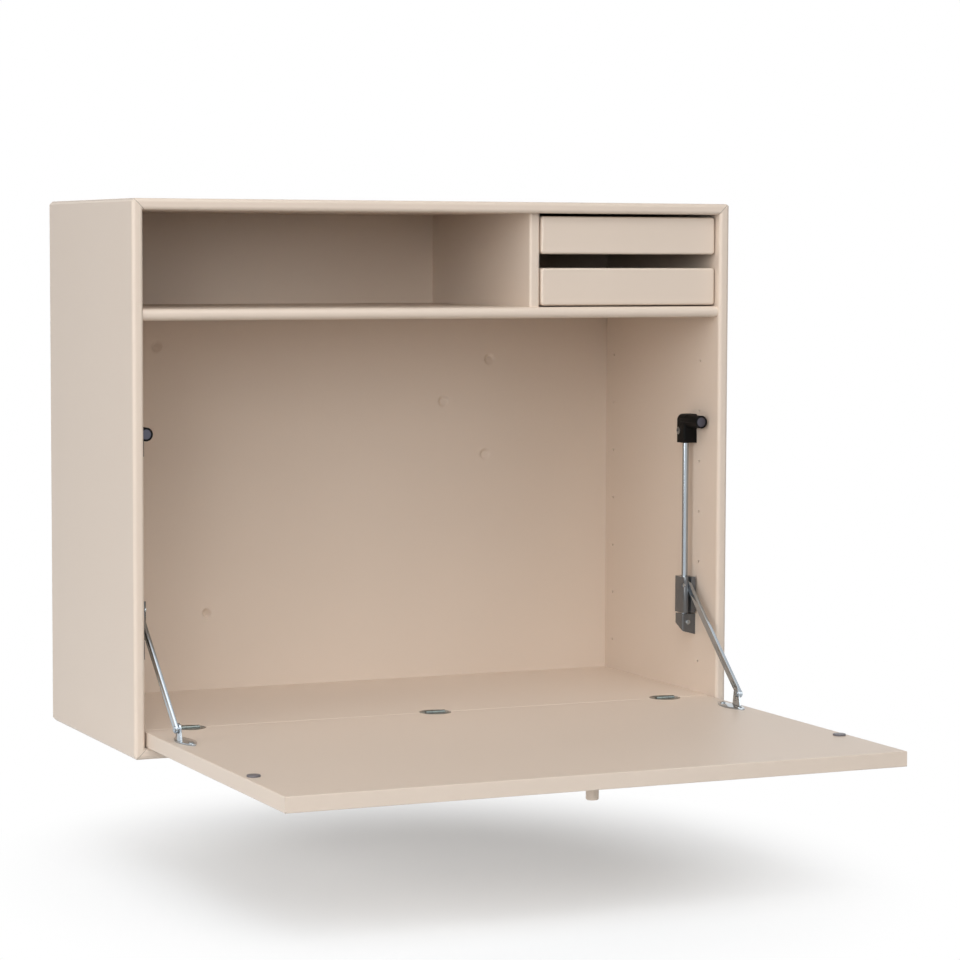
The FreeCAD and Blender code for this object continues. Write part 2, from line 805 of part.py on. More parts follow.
def foot_set_screw(name, x):
    head = rod(
        name + "_head", "y", "screw_head_radius",
        ("%s - screw_head_height" % foot_screw_seat, foot_screw_seat), (x, foot_screw_level))
    tip = rod(
        name + "_tip", "y", "screw_shank_radius",
        ("%s - screw_head_height / 2" % foot_screw_seat, "%s - rod_radius - rod_fit" % rod_y),
        (x, foot_screw_level))
    return fuse(name, head, tip)


def stay_slider(side, sign):
    name = "stay_slider_" + side
    x = signed(sign, stay_x)
    shell = new_body(name + "_shell")
    section = outline(shell, "XY_Plane", oblong(
        about("0", "slider_width"), ("-%s - slider_lug" % pivot_forward, "slider_back")))
    solid = pad(shell, section, "slider_height", turned=True)
    inside = "low" if sign > 0 else "high"
    soften(shell, solid, edges(solid.Shape, "z", x=inside), "slider_round")
    place(shell, x, rod_y, slider_top)
    reach = ("%s - overrun" % slider_low, "%s + overrun" % slider_top)
    bore = rod(name + "_bore", "z", "rod_radius + rod_fit", reach, (x, rod_y))
    slot = block(
        name + "_slot", about(x, "slider_slot"),
        ("%s - slider_lug - overrun" % pivot_y, "%s - rod_radius - rod_fit - slider_wall" % rod_y), reach)
    rivet_bore = rod(
        name + "_rivet_bore", "x", "slider_rivet_radius + rivet_fit",
        about(x, "slider_width + 2 * overrun"), (pivot_y, pivot_z))
    return cut(name, shell, bore, slot, rivet_bore)


def slider_rivets(side, sign):
    # One stub in each cheek. The slot between them is left free for the arm's eye.
    x = signed(sign, stay_x)
    return group("slider_rivets_" + side, [
        rod(
            "slider_rivet_%s_%s" % (side, cheek), "x", "slider_rivet_radius",
            span(x, way, "slider_slot / 2", "slider_width / 2 + slider_rivet_proud"), (pivot_y, pivot_z))
        for cheek, way in (("inner", -sign), ("outer", sign))
    ])


def stay_arm(side, sign):
    name = "stay_arm_" + side
    thick = about("0", "arm_thickness")
    bar = block(name + "_bar", thick, about("0", "arm_width"), ("0", "arm_length"))
    eyes = [
        rod("%s_eye_%s" % (name, end), "x", "arm_width / 2", thick, ("0", level))
        for end, level in (("low", "0"), ("high", "arm_length"))
    ]
    bores = [
        rod("%s_bore_%s" % (name, end), "x", "rivet_radius + rivet_fit",
            about("0", "2 * overrun"), ("0", level))
        for end, level in (("low", "0"), ("high", "arm_length"))
    ]
    arm = cut(name, fuse(name + "_joined", bar, *eyes), *bores)
    arm.Placement = FreeCAD.Placement(FreeCAD.Vector(), FreeCAD.Rotation(FreeCAD.Vector(1, 0, 0), -1))
    tie(arm, "Placement.Rotation.Angle", "-asin(%s / arm_length)" % arm_forward)
    place(arm, signed(sign, stay_x), rivet_y, rivet_z)
    return arm


# Bracket on the flap: a boat shaped plate with an upright ear that carries the arm.
def flap_bracket(side, sign):
    name = "flap_bracket_" + side
    x = signed(sign, "(%s - plate_shift)" % stay_x)
    level = (floor_top, "%s + plate_thickness" % floor_top)
    bow = "((plate_length ^ 2 + plate_width ^ 2) / (4 * plate_width))"
    bows = [
        rod("%s_bow_%d" % (name, number), "z", bow, level,
            ("%s %s (%s - plate_width / 2)" % (x, way, bow), rivet_y))
        for number, way in enumerate("+-")
    ]
    trim = block(
        name + "_trim", about(x, "plate_width"), about(rivet_y, "plate_length - 2 * plate_tip_cut"), level)
    plate = common(name + "_plate", *bows, trim)
    ear_reach = ear_span(sign)
    ear = new_body(name + "_ear")
    section = outline(ear, "YZ_Plane", [
        ("-ear_base / 2", "0"),
        ("ear_base / 2", "0"),
        ("ear_width / 2", "pivot_lift"),
        ("-ear_width / 2", "pivot_lift"),
    ], ear_reach[0])
    pad(ear, section, "ear_thickness")
    place(ear, "0", rivet_y, floor_top)
    crown = rod(name + "_crown", "x", "ear_width / 2", ear_reach, (rivet_y, rivet_z))
    joined = fuse(name + "_joined", plate, ear, crown)
    rivet_bore = rod(
        name + "_rivet_bore", "x", "rivet_radius + screw_fit",
        about(signed(sign, stay_x), "4 * overrun"), (rivet_y, rivet_z))
    holes = [
        rod("%s_hole_%d" % (name, number), "z", "screw_shank_radius + screw_fit",
            ("%s - overrun" % floor_top, "%s + overrun" % floor_top), centre)
        for number, centre in enumerate(plate_screw_centres(sign))
    ]
    return cut(name, joined, rivet_bore, *holes)


def ear_span(sign):
    # The ear stands on the arm's inner side.
    return span(
        signed(sign, stay_x), -sign,
        "arm_thickness / 2 + arm_gap", "arm_thickness / 2 + arm_gap + ear_thickness")


def plate_screw_centres(sign):
    x = signed(sign, "(%s - plate_shift)" % stay_x)
    return [(x, "%s %s plate_screw_spread" % (rivet_y, way)) for way in "+-"]


def arm_rivet(side, sign):
    name = "arm_rivet_" + side
    x = signed(sign, stay_x)
    shank = rod(
        name + "_shank", "x", "rivet_radius",
        span(x, -sign, "-arm_thickness / 2 - arm_gap - rivet_head_height / 2",
             "arm_thickness / 2 + arm_gap + ear_thickness"), (rivet_y, rivet_z))
    heads = [
        rod("%s_head_%d" % (name, number), "x", "rivet_head_radius",
            span(x, way, start, start + " + rivet_head_height"), (rivet_y, rivet_z))
        for number, (way, start) in enumerate((
            (sign, "arm_thickness / 2 + arm_gap"),
            (-sign, "arm_thickness / 2 + arm_gap + ear_thickness"),
        ))
    ]
    return fuse(name, shank, *heads)


def catch_plate(side, sign):
    name = "catch_plate_" + side
    centre = (signed(sign, "(%s - catch_inward)" % stay_x), "%s - catch_reach - catch_beyond" % hinge_y)
    shoulder = "%s + catch_thickness - catch_bevel" % floor_top
    disc = rod(name + "_disc", "z", "catch_radius", (floor_top, shoulder), centre)
    bevel = cone(
        name + "_bevel", "z", "catch_radius", "catch_radius - catch_bevel",
        (shoulder, "%s + catch_thickness" % floor_top), centre)
    return fuse(name, disc, bevel)


magnets = []
arm_rivets = []
plate_screws = []
for side, sign in sides.items():
    x = signed(sign, stay_x)
    nodes += [
        stay_bracket(side, sign),
        rod("stay_rod_" + side, "z", "rod_radius", (rod_start, rod_end), (x, rod_y)),
        stay_foot(side, sign),
        group("stay_screws_" + side, [
            screw(
                "stay_fixing_screw_" + side, "x", bracket_screw_seat(sign), -sign,
                (bracket_screw_y, bracket_screw_z), bracket_screw_length, "bracket_screw"),
            foot_set_screw("stay_set_screw_" + side, x),
        ]),
        stay_slider(side, sign),
        slider_rivets(side, sign),
        stay_arm(side, sign),
        flap_bracket(side, sign),
        catch_plate(side, sign),
    ]
    magnets.append(rod("catch_magnet_" + side, "y", "magnet_radius", magnet_reach, (x, boss_z)))
    arm_rivets.append(arm_rivet(side, sign))
    plate_screws += [
        screw("flap_bracket_screw_%s_%d" % (side, number), "z", "%s + plate_thickness" % floor_top, 1, centre,
              board_screw_length)
        for number, centre in enumerate(plate_screw_centres(sign))
    ]
nodes += [
    group("catch_magnets", magnets),
    group("arm_rivets", arm_rivets),
    group("flap_bracket_screws", plate_screws),
]


# Pull knob: a peg under the flap, with a spigot in the board.
def pull_knob():
    centre = ("0", "%s - seam_gap / 2 - %s + knob_inset" % (hinge_y, flap_length))
    seat = "(%s - floor_thickness + flap_rest_gap)" % floor_top
    tip = "%s - knob_length" % seat
    stem = rod("pull_knob_stem", "z", "knob_radius", ("%s + knob_bevel" % tip, seat), centre)
    bevel = cone(
        "pull_knob_bevel", "z", "knob_radius - knob_bevel", "knob_radius",
        (tip, "%s + knob_bevel" % tip), centre)
    spigot = rod(
        "pull_knob_spigot", "z", "knob_spigot_radius",
        ("%s - knob_bevel" % seat, "%s + knob_spigot_length" % seat), centre)
    return fuse("pull_knob", stem, bevel, spigot)


nodes.append(pull_knob())


# Drawers: a soft edged front with a grooved tray, running on strips beside it.
bay_middle = "(%s + drawer_bay_width / 2)" % bay_left
face_width = "(drawer_bay_width - 2 * drawer_gap)"
face_back = "(drawer_setback + drawer_face - carcase_depth)"
tray_end = "(%s - tray_rear_gap)" % back_face
drawer_height = "((upper_bay_height - drawer_floor_gap - finger_gap - drawer_top_gap) / 2)"
lower_drawer = "(%s + drawer_floor_gap)" % shelf_top
upper_drawer = "(%s - drawer_top_gap - %s)" % (ceiling, drawer_height)


def drawer_front(name, low):
    face = new_body(name)
    section = outline(face, "XZ_Plane", oblong(about("0", face_width), ("0", drawer_height)))
    solid = pad(face, section, "drawer_face", turned=True)
    cornered = soften(face, solid, edges(solid.Shape, "y"), "drawer_corner")
    soften(face, cornered, edges(cornered.Shape, y="low"), "drawer_soft")
    place(face, bay_middle, "drawer_setback - carcase_depth", low)
    return face


def drawer(level, low):
    tray_low = "(%s + tray_lift)" % low
    tray_top = "(%s + %s - tray_drop)" % (low, drawer_height)
    runner_low = "(%s + runner_rise)" % low
    runner_level = (runner_low, "%s + runner_height" % runner_low)
    groove_level = ("%s - runner_fit" % runner_low, "%s + runner_height + runner_fit" % runner_low)
    pieces = [drawer_front("drawer_front_" + level, low)]
    for side, wall, sign in (("left", bay_left, 1), ("right", inner, -1)):
        outer_face = span(wall, sign, "drawer_gap", "drawer_gap + tray_wall")
        name = "drawer_side_%s_%s" % (level, side)
        plank = block(name + "_plank", outer_face, (face_back, tray_end), (tray_low, tray_top))
        groove = block(
            name + "_groove", span(wall, sign, "0", "runner_thickness + runner_fit"),
            ("%s - overrun" % face_back, "%s + overrun" % tray_end), groove_level)
        pieces.append(cut(name, plank, groove))
        pieces.append(block(
            "drawer_runner_%s_%s" % (level, side), span(wall, sign, "0", "runner_thickness"),
            ("%s + runner_front_gap" % face_back, tray_end), runner_level))
    inside = ("%s + drawer_gap + tray_wall" % bay_left, "%s - drawer_gap - tray_wall" % inner)
    pieces.append(block(
        "drawer_back_" + level, inside, ("%s - tray_wall" % tray_end, tray_end), (tray_low, tray_top)))
    pieces.append(block(
        "drawer_bottom_" + level, inside, (face_back, "%s - tray_wall" % tray_end),
        (tray_low, "%s + tray_bottom" % tray_low)))
    return pieces


nodes += drawer("upper", upper_drawer)
nodes += drawer("lower", lower_drawer)


# Wall rail, with its lip standing off the wall, and the two hooks that hang the carcase on it.
def wall_rail():
    rail = new_body("wall_rail")
    section = outline(rail, "YZ_Plane", [
        ("0", "-rail_flange / 2"),
        ("0", "rail_flange / 2"),
        ("-rail_offset", "rail_flange / 2"),
        ("-rail_offset", "rail_flange / 2 + rail_lip"),
        ("-rail_offset - rail_steel", "rail_flange / 2 + rail_lip"),
        ("-rail_offset - rail_steel", "rail_flange / 2 - rail_steel"),
        ("-rail_steel", "rail_flange / 2 - rail_steel"),
        ("-rail_steel", "-rail_flange / 2"),
    ])
    pad(rail, section, "2 * %s - 2 * rail_end_gap" % inner, "Symmetric")
    hole_x = "(%s - rail_end_gap - rail_hole_inset)" % inner
    pocket(rail, circles(rail, "XZ_Plane", [("-" + hole_x, "0"), (hole_x, "0")], "rail_hole_radius"))
    place(rail)
    return rail


def rail_hook(side, sign):
    hook = new_body("rail_hook_" + side)
    hook_front = "hook_gap - rail_offset"
    section = outline(hook, "YZ_Plane", [
        ("-back_recess", "0"),
        (hook_front, "0"),
        (hook_front, "-hook_drop"),
        (hook_front + " + rail_steel", "-hook_drop"),
        (hook_front + " + rail_steel", "rail_steel"),
        ("-back_recess + rail_steel", "rail_steel"),
        ("-back_recess + rail_steel", "hook_height"),
        ("-back_recess", "hook_height"),
    ])
    pad(hook, section, "hook_width", "Symmetric")
    holes = [("%shook_screw_spread" % way, "hook_screw_level") for way in ("", "-")]
    pocket(hook, circles(hook, "XZ_Plane", holes, "screw_shank_radius + screw_fit"))
    place(hook, x=signed(sign, "(%s - hook_inset)" % inner), z="rail_flange / 2 + rail_lip")
    return hook


nodes.append(wall_rail())
nodes += [rail_hook(side, sign) for side, sign in sides.items()]
nodes.append(group("hook_screws", [
    screw("hook_screw_%s_%d" % (side, number), "y", "rail_steel - back_recess", 1, centre,
          "rail_steel + hook_screw_grip")
    for side, sign in sides.items() for number, centre in enumerate(hook_screw_centres(sign))
]))

document.recompute()
for item in document.Objects:
    faults = [state for state in item.State if state in ("Invalid", "Error")]
    if faults:
        raise RuntimeError("%s: %s" % (item.Name, ", ".join(faults)))
for node in nodes:
    node.Label = node.Name
    if node.Shape.isNull() or not node.Shape.isValid():
        raise RuntimeError("%s has no sound shape" % node.Label)

os.makedirs("parts", exist_ok=True)
for node in nodes:
    node.Shape.exportStep("parts/%s.step" % node.Label)
    print("%-28s %3d solids %12.1f mm3" % (node.Label, len(node.Shape.Solids), node.Shape.Volume))
print("%d sub-parts" % len(nodes))
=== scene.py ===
import json
import math

import bmesh
import bpy
from mathutils import Matrix, Vector


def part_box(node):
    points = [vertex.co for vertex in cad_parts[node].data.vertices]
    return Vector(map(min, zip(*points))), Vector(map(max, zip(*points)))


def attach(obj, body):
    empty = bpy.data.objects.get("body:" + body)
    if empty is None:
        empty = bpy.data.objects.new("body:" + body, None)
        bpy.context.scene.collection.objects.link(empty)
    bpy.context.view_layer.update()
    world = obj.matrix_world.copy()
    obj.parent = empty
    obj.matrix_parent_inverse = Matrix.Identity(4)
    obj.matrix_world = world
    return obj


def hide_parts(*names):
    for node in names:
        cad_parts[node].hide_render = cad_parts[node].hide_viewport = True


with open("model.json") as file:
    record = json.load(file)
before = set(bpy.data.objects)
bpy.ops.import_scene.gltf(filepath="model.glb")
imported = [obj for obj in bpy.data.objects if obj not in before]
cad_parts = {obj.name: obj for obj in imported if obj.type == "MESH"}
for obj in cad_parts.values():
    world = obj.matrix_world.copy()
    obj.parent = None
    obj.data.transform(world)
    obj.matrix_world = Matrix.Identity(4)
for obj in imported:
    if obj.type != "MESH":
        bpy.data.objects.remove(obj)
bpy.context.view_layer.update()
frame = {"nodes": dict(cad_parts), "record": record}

nodes = frame["nodes"]
scene = bpy.context.scene
sides = ("left", "right")
mergeDistance = 1e-6
sliverLength = 2e-6
sharpAngle = math.radians(32)
print("frame loaded:", len(nodes), "nodes")

# shader helpers


class Sock:
    # a node socket that takes part in sums like a number
    def __init__(self, finish, socket):
        self.finish = finish
        self.socket = socket

    def maths(self, operation, other, swapped=False):
        first, second = (other, self) if swapped else (self, other)
        return self.finish.add("ShaderNodeMath", {"operation": operation}, {0: first, 1: second})

    def __add__(self, other):
        return self.maths("ADD", other)

    def __sub__(self, other):
        return self.maths("SUBTRACT", other)

    def __rsub__(self, other):
        return self.maths("SUBTRACT", other, True)

    def __mul__(self, other):
        return self.maths("MULTIPLY", other)

    __radd__ = __add__


# colour sockets of a mix node, by number because its other kinds have the same names
mixFirst = 6
mixSecond = 7
mixResult = 2


class Finish:
    # one procedural material
    def __init__(self, name):
        self.material = bpy.data.materials.new(name)
        self.material.use_nodes = True
        self.tree = self.material.node_tree
        self.tree.nodes.clear()
        self.output = self.tree.nodes.new("ShaderNodeOutputMaterial")

    def add(self, kind, settings=None, inputs=None, output=0):
        node = self.tree.nodes.new(kind)
        for name, value in (settings or {}).items():
            if name == "stops":
                self.setStops(node.color_ramp, value)
            else:
                setattr(node, name, value)
        for name, value in (inputs or {}).items():
            if isinstance(value, Sock):
                self.tree.links.new(value.socket, node.inputs[name])
            else:
                node.inputs[name].default_value = value
        return Sock(self, node.outputs[output])

    def setStops(self, ramp, stops):
        while len(ramp.elements) < len(stops):
            ramp.elements.new(1)
        for element, (place, colour) in zip(ramp.elements, stops):
            element.position = place
            element.color = colour

    def objectPlace(self):
        return self.add("ShaderNodeTexCoord", output="Object")

    def noise(self, place, scale, detail=2, roughness=0.5):
        return self.add("ShaderNodeTexNoise", {}, {
            "Vector": place, "Scale": scale, "Detail": detail, "Roughness": roughness})

    def stretched(self, place, scale):
        return self.add("ShaderNodeMapping", {}, {"Vector": place, "Scale": scale})

    def ramp(self, factor, low, high):
        # 0 below low, 1 above high
        grey = [(low, (0, 0, 0, 1)), (high, (1, 1, 1, 1))]
        return self.add("ShaderNodeValToRGB", {"stops": grey}, {"Fac": factor})

    def mixed(self, factor, first, second):
        return self.add("ShaderNodeMix", {"data_type": "RGBA"}, {
            "Factor": factor, mixFirst: first, mixSecond: second}, mixResult)

    def bump(self, height, strength, distance):
        return self.add("ShaderNodeBump", {}, {
            "Height": height, "Strength": strength, "Distance": distance})

    def principled(self, inputs):
        shader = self.add("ShaderNodeBsdfPrincipled", {}, inputs)
        self.finishWith(shader)
        return self

    def finishWith(self, shader):
        self.tree.links.new(shader.socket, self.output.inputs["Surface"])


def rgb(red, green, blue):
    return (red, green, blue, 1)


# finishes, one for each slot of the record

# mean value of a noise
evenNoise = 0.5

lacquerLook = {
    "deep": rgb(0.690, 0.582, 0.488), "light": rgb(0.723, 0.612, 0.516),
    "cloud": 7, "peel": 520, "pore": 2400, "peelTone": 0.2,
    "peelStrength": 0.10, "peelHeight": 0.00012, "poreBump": 0.2,
    "gloss": 0.43, "glossSpread": 0.10, "poreGloss": 0.04,
}
# the seam tone is painted shade, a dark hairline that stands in for the shadow in the mitre gaps of the
# carcase
seamShadeLook = {"half": 0.00016, "soft": 0.00014, "reach": 0.0135, "tone": rgb(0.10, 0.078, 0.062)}


def mitreSeamShade(finish, place, look):
    # painted shade: a dark hairline for the gap where two carcase boards meet, 1 on the mitre plane of
    # each corner and 0 elsewhere
    low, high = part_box("bottom_panel")[0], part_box("top_panel")[1]
    middle, half = (low + high) / 2, (high - low) / 2
    parted = [finish.add("ShaderNodeSeparateXYZ", {}, {"Vector": place}, axis) for axis in "XZ"]
    inward = [
        size - (part - shift).maths("ABSOLUTE", 0)
        for part, shift, size in zip(parted, (middle.x, middle.z), (half.x, half.z))
    ]
    off = (inward[0] - inward[1]).maths("ABSOLUTE", 0)
    line = finish.add("ShaderNodeMapRange", {"interpolation_type": "SMOOTHSTEP"}, {
        "Value": off, "From Min": look["half"], "From Max": look["half"] + look["soft"],
        "To Min": 1.0, "To Max": 0.0})
    return line * inward[0].maths("LESS_THAN", look["reach"])


def sandLacquer(look, seamShade):
    # sprayed lacquer: an even tone with a faint cloud, and orange peel too fine to see at arm's length
    finish = Finish("sandLacquer")
    place = finish.objectPlace()
    cloud = finish.noise(place, look["cloud"], detail=3)
    peel = finish.noise(place, look["peel"], detail=2)
    pore = finish.noise(place, look["pore"], detail=1)
    tone = finish.mixed(
        cloud * (1 - look["peelTone"]) + peel * look["peelTone"], look["deep"], look["light"])
    height = peel * (1 - look["poreBump"]) + pore * look["poreBump"]
    sheen = (cloud - evenNoise) * look["glossSpread"]
    # the base colour carries the painted shade of the mitre gaps
    return finish.principled({
        "Base Color": finish.mixed(mitreSeamShade(finish, place, seamShade), tone, seamShade["tone"]),
        "Roughness": look["gloss"] + sheen + (pore - evenNoise) * look["poreGloss"],
        "Normal": finish.bump(height, look["peelStrength"], look["peelHeight"]),
    })


beechLook = {
    "early": rgb(0.66, 0.47, 0.29), "late": rgb(0.50, 0.33, 0.18), "across": 700, "along": 45,
    "fleck": 1400, "fleckFrom": 0.62, "fleckTo": 0.72, "fleckShare": 0.35,
    "gloss": 0.55, "glossSpread": 0.2, "grainStrength": 0.25, "grainHeight": 0.0002,
}


def rawBeech(look):
    finish = Finish("rawBeech")
    place = finish.objectPlace()
    drawn = finish.stretched(place, (look["across"], look["across"], look["along"]))
    grain = finish.noise(drawn, scale=1, detail=4)
    fleck = finish.ramp(finish.noise(place, look["fleck"], detail=1), look["fleckFrom"], look["fleckTo"])
    tone = finish.mixed(grain, look["early"], look["late"])
    return finish.principled({
        "Base Color": finish.mixed(fleck * look["fleckShare"], tone, look["late"]),
        "Roughness": look["gloss"] + grain * look["glossSpread"],
        "Normal": finish.bump(grain, look["grainStrength"], look["grainHeight"]),
    })


mouldTexture = {
    "erode": 2600, "erodeRoughness": 0.6, "haze": 60, "erodeTone": 0.3, "hazeGloss": 0.12,
    "strength": 0.25, "height": 0.00008,
}
blackLook = {
    "dark": rgb(0.003, 0.003, 0.003), "light": rgb(0.005, 0.005, 0.005), "gloss": 0.50, "shine": 0.10,
}
greyLook = {
    "dark": rgb(0.100, 0.094, 0.108), "light": rgb(0.135, 0.128, 0.142), "gloss": 0.36, "shine": 0.5,
}
runnerLook = {
    "dark": rgb(0.52, 0.47, 0.41), "light": rgb(0.60, 0.55, 0.49), "gloss": 0.42, "shine": 0.5,
}


def moulded(name, look, texture):
    # moulded plastic with a fine eroded texture
    finish = Finish(name)
    place = finish.objectPlace()
    erode = finish.noise(place, texture["erode"], detail=2, roughness=texture["erodeRoughness"])
    haze = finish.noise(place, texture["haze"], detail=2)
    tone = haze * (1 - texture["erodeTone"]) + erode * texture["erodeTone"]
    return finish.principled({
        "Base Color": finish.mixed(tone, look["dark"], look["light"]),
        "Roughness": look["gloss"] + (haze - evenNoise) * texture["hazeGloss"],
        "Specular IOR Level": look["shine"],
        "Normal": finish.bump(erode, texture["strength"], texture["height"]),
    })


plateTexture = {
    "haze": 90, "drawnGloss": 0.06, "hazeGloss": 0.03, "strength": 0.12, "height": 0.00002,
}
brightLook = {
    "dark": rgb(0.38, 0.425, 0.465), "light": rgb(0.44, 0.485, 0.525),
    "gloss": 0.09, "streak": (60, 60, 900),
}
hingeLook = {
    "dark": rgb(0.165, 0.188, 0.178), "light": rgb(0.215, 0.242, 0.230),
    "gloss": 0.24, "streak": (900, 60, 900),
}
screwLook = {
    "dark": rgb(0.30, 0.32, 0.33), "light": rgb(0.38, 0.40, 0.41),
    "gloss": 0.24, "streak": (300, 300, 300),
}
magnetLook = {
    "dark": rgb(0.075, 0.075, 0.095), "light": rgb(0.100, 0.098, 0.122),
    "gloss": 0.32, "streak": (700, 60, 700),
}


def plated(name, look, texture):
    # plate with fine drawn streaks and a little haze
    finish = Finish(name)
    place = finish.objectPlace()
    drawn = finish.noise(finish.stretched(place, look["streak"]), scale=1, detail=3)
    haze = finish.noise(place, texture["haze"], detail=3)
    wear = (drawn - evenNoise) * texture["drawnGloss"]
    return finish.principled({
        "Base Color": finish.mixed(haze, look["dark"], look["light"]),
        "Metallic": 1.0,
        "Roughness": look["gloss"] + wear + haze * texture["hazeGloss"],
        "Normal": finish.bump(drawn, texture["strength"], texture["height"]),
    })


zincLook = {
    "dark": rgb(0.106, 0.111, 0.117), "light": rgb(0.140, 0.147, 0.154), "metal": 0.5, "gloss": 0.18,
    "ripple": 240, "grit": 2200, "gritTone": 0.3, "gritGloss": 0.12, "gritBump": 0.4,
    "strength": 0.16, "height": 0.00006,
}


def darkZinc(look):
    # dark plated die casting, with the faint ripple of the casting under the plate
    finish = Finish("darkZinc")
    place = finish.objectPlace()
    ripple = finish.noise(place, look["ripple"], detail=3)
    grit = finish.noise(place, look["grit"], detail=2)
    tone = ripple * (1 - look["gritTone"]) + grit * look["gritTone"]
    height = ripple * (1 - look["gritBump"]) + grit * look["gritBump"]
    return finish.principled({
        "Base Color": finish.mixed(tone, look["dark"], look["light"]),
        "Metallic": look["metal"],
        "Roughness": look["gloss"] + (grit - evenNoise) * look["gritGloss"],
        "Normal": finish.bump(height, look["strength"], look["height"]),
    })


galvanisedLook = {
    "dark": rgb(0.36, 0.37, 0.38), "light": rgb(0.53, 0.54, 0.55), "spangle": 130,
    "frost": 900, "frostTone": 0.2, "gloss": 0.44, "flakeGloss": 0.16,
    "strength": 0.1, "height": 0.00004,
}


def galvanised(look):
    # zinc spangle on the rail and hooks behind the back panel
    finish = Finish("galvanised")
    place = finish.objectPlace()
    crystal = finish.add("ShaderNodeTexVoronoi", {}, {
        "Vector": place, "Scale": look["spangle"]}, "Color")
    flake = finish.add("ShaderNodeSeparateColor", {}, {"Color": crystal}, "Red")
    frost = finish.noise(place, look["frost"], detail=2)
    tone = flake * (1 - look["frostTone"]) + frost * look["frostTone"]
    return finish.principled({
        "Base Color": finish.mixed(tone, look["dark"], look["light"]),
        "Metallic": 1.0,
        "Roughness": look["gloss"] + flake * look["flakeGloss"],
        "Normal": finish.bump(frost, look["strength"], look["height"]),
    })


finishes = {
    "sand_lacquer": sandLacquer(lacquerLook, seamShadeLook),
    "dowel_beech": rawBeech(beechLook),
    "black_plastic": moulded("blackPlastic", blackLook, mouldTexture),
    "dark_zinc": darkZinc(zincLook),
    "chrome": plated("brightPlate", brightLook, plateTexture),
    "hinge_steel": plated("hingeSteel", hingeLook, plateTexture),
    "screw_steel": plated("screwSteel", screwLook, plateTexture),
    "magnet_steel": plated("magnetSteel", magnetLook, plateTexture),
    "grey_plastic": moulded("greyPlastic", greyLook, mouldTexture),
    "runner_plastic": moulded("runnerPlastic", runnerLook, mouldTexture),
    "rail_steel": galvanised(galvanisedLook),
}
slotOf = {part["node"]: part["material_slot"] for part in frame["record"]["subparts"]}
bodies = frame["record"]["behaviour"]["bodies"]
bodyOf = {node: body for body, members in bodies.items() for node in members}


def paint(thing, slot):
    thing.data.materials.clear()
    thing.data.materials.append(finishes[slot].material)


for name, node in nodes.items():
    paint(node, slotOf[name])
print("finishes:", len(finishes))

# mesh helpers


def newPiece(name, mesh):
    piece = bpy.data.objects.new(name, mesh)
    scene.collection.objects.link(piece)
    return piece


def mergedCopy(node):
    # a CAD mesh is loose triangles, so a copy is joined up first
    work = bmesh.new()
    work.from_mesh(nodes[node].data)
    bmesh.ops.remove_doubles(work, verts=work.verts, dist=mergeDistance)
    return work


def meshFrom(work, name):
    mesh = bpy.data.meshes.new(name)
    work.to_mesh(mesh)
    work.free()
    return mesh


def shade(mesh):
    mesh.polygons.foreach_set("use_smooth", [True] * len(mesh.polygons))
    mesh.set_sharp_from_angle(angle=sharpAngle)
    mesh.update()


def settle(piece):
    # live modifiers become a plain mesh, without slivers
    graph = bpy.context.evaluated_depsgraph_get()
    mesh = bpy.data.meshes.new_from_object(piece.evaluated_get(graph))
    work = bmesh.new()
    work.from_mesh(mesh)
    bmesh.ops.dissolve_degenerate(work, dist=sliverLength, edges=work.edges)
    work.to_mesh(mesh)
    work.free()
    old = piece.data
    piece.modifiers.clear()
    piece.data = mesh
    bpy.data.meshes.remove(old)


def dress(piece, *replaced):
    # a piece takes its slot and body from the node that it stands for
    slot = slotOf[replaced[0]]
    paint(piece, slot)
    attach(piece, bodyOf[replaced[0]])
    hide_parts(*replaced)


# hardware with broken edges: the CAD shape, merged and bevelled

edgeBreaks = {
    "stay_arm_": 0.00035, "flap_bracket_": 0.0003, "stay_slider_": 0.0009, "stay_foot_": 0.0008,
    "stay_bracket_": 0.0007, "catch_plate_": 0.0004,
}
# faces within the flat angle become one, and edges over the corner angle are broken
breakLook = {"flat": math.radians(0.6), "corner": math.radians(40), "segments": 3}


def brokenEdges(node, width, look):
    work = mergedCopy(node)
    bmesh.ops.dissolve_limit(work, angle_limit=look["flat"], verts=work.verts, edges=work.edges)
    piece = newPiece(node + "Edges", meshFrom(work, node + "Edges"))
    bevel = piece.modifiers.new("broken", "BEVEL")
    bevel.width = width
    bevel.segments = look["segments"]
    bevel.limit_method = "ANGLE"
    bevel.angle_limit = look["corner"]
    bevel.use_clamp_overlap = True
    settle(piece)
    shade(piece.data)
    dress(piece, node)


for prefix, width in edgeBreaks.items():
    for side in sides:
        brokenEdges(prefix + side, width, breakLook)
print("hardware edges broken")

# screws and rivets, set out on points by geometry nodes


